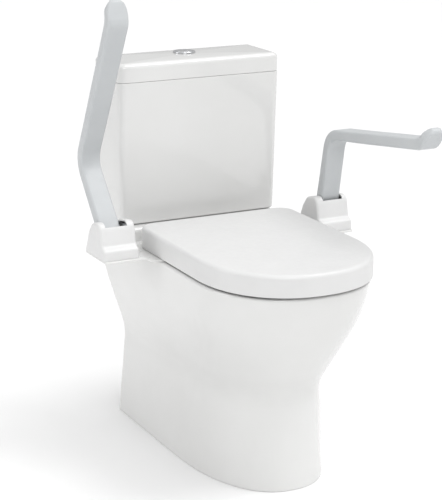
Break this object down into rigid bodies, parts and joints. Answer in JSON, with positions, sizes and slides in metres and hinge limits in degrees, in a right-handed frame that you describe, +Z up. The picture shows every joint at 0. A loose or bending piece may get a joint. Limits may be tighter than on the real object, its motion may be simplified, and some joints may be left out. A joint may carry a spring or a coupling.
{
  "type": "toilet with fold-up support arms",
  "caption": "Raised-height close-coupled toilet with a wrap-over seat and a pair of fold-up support arms on a plate under the seat hinges.",
  "frame": {"origin": "On the floor under the middle of the bounding box; the wall plane is y = +0.353 m", "axes": "+Z up, +Y towards the wall behind the cistern, the user faces -Y, +X to the viewer's right when looking at the front"},
  "size_m": [0.5952, 0.706, 0.9944],
  "materials": {
    "ceramic": "glazed vitreous china",
    "seat_plastic": "gloss",
    "housing_plastic": "satin",
    "plate_enamel": "white powder coat",
    "arm_grey": "satin moulding",
    "valve_plastic": "matte",
    "chrome": "polished",
    "steel": "zinc plated",
    "brass": "plain",
    "rubber": "matte"
  },
  "bodies": {
    "suite": {"pan": "ceramic", "cistern_tank": "ceramic", "cistern_lid": "ceramic", "cistern_gasket": "rubber", "tank_bolt_left": "brass", "tank_bolt_right": "brass", "tank_bolt_washer_left": "rubber", "tank_bolt_washer_right": "rubber", "tank_wing_nut_left": "brass", "tank_wing_nut_right": "brass", "flush_valve_body": "valve_plastic", "flush_valve_backnut": "valve_plastic", "fill_valve_body": "valve_plastic", "fill_valve_backnut": "brass", "button_bezel": "chrome", "button_nut": "valve_plastic", "hinge_post_left": "chrome", "hinge_post_right": "chrome", "hinge_pin_left": "steel", "hinge_pin_right": "steel", "hinge_bolt_left": "steel", "hinge_bolt_right": "steel", "hinge_wing_nut_left": "housing_plastic", "hinge_wing_nut_right": "housing_plastic", "mounting_plate": "plate_enamel", "arm_housing_left": "housing_plastic", "arm_housing_right": "housing_plastic", "pivot_bracket_left": "steel", "pivot_bracket_right": "steel", "pivot_pin_left": "steel", "pivot_pin_right": "steel", "front_stop_pin_left": "steel", "front_stop_pin_right": "steel", "back_stop_pin_left": "steel", "back_stop_pin_right": "steel", "bracket_screw_front_left": "steel", "bracket_screw_front_right": "steel", "bracket_screw_rear_left": "steel", "bracket_screw_rear_right": "steel"},
    "left_arm": {"support_arm_left": "arm_grey", "arm_bush_left": "valve_plastic"},
    "right_arm": {"support_arm_right": "arm_grey", "arm_bush_right": "valve_plastic"},
    "ring": {"seat_ring": "seat_plastic", "seat_buffer_front_left": "rubber", "seat_buffer_front_right": "rubber", "seat_buffer_rear_left": "rubber", "seat_buffer_rear_right": "rubber"},
    "cover": {"seat_cover": "seat_plastic", "cover_buffer_left": "rubber", "cover_buffer_right": "rubber"},
    "half_button": {"half_flush_button": "chrome", "half_flush_push_rod": "valve_plastic"},
    "full_button": {"full_flush_button": "chrome", "full_flush_push_rod": "valve_plastic"},
    "flush_lift": {"flush_lift_tube": "valve_plastic", "flush_valve_seal": "rubber"},
    "float": {"fill_valve_float": "valve_plastic"}
  },
  "joints": [
    {"name": "left_arm_pivot", "type": "hinge", "parent": "suite", "child": "left_arm", "pos_m": [-0.26, 0.1117, 0.4901], "axis": [-1, 0, 0], "range_deg": [-53.5, 0]},
    {"name": "right_arm_pivot", "type": "hinge", "parent": "suite", "child": "right_arm", "pos_m": [0.26, 0.1117, 0.4901], "axis": [-1, 0, 0], "range_deg": [0, 53.5]},
    {"name": "seat_ring_hinge", "type": "hinge", "parent": "suite", "child": "ring", "pos_m": [0, 0.138, 0.471], "axis": [-1, 0, 0], "range_deg": [0, 94]},
    {"name": "seat_cover_hinge", "type": "hinge", "parent": "ring", "child": "cover", "pos_m": [0, 0.138, 0.471], "axis": [1, 0, 0], "range_deg": [-94, 0]},
    {"name": "half_flush_press", "type": "slide", "parent": "suite", "child": "half_button", "axis": [0, 0, -1], "range_m": [0, 0.005], "stiffness_N_per_m": 600, "springref_m": -0.002},
    {"name": "full_flush_press", "type": "slide", "parent": "suite", "child": "full_button", "axis": [0, 0, -1], "range_m": [0, 0.005], "stiffness_N_per_m": 600, "springref_m": -0.002},
    {"name": "flush_lift_rise", "type": "slide", "parent": "suite", "child": "flush_lift", "axis": [0, 0, 1], "range_m": [0, 0.015]},
    {"name": "float_rise", "type": "slide", "parent": "suite", "child": "float", "axis": [0, 0, 1], "range_m": [0, 0.1]}
  ],
  "couplings": [
    {"joint": "flush_lift_rise", "follows": "full_flush_press", "ratio": 3}
  ]
}
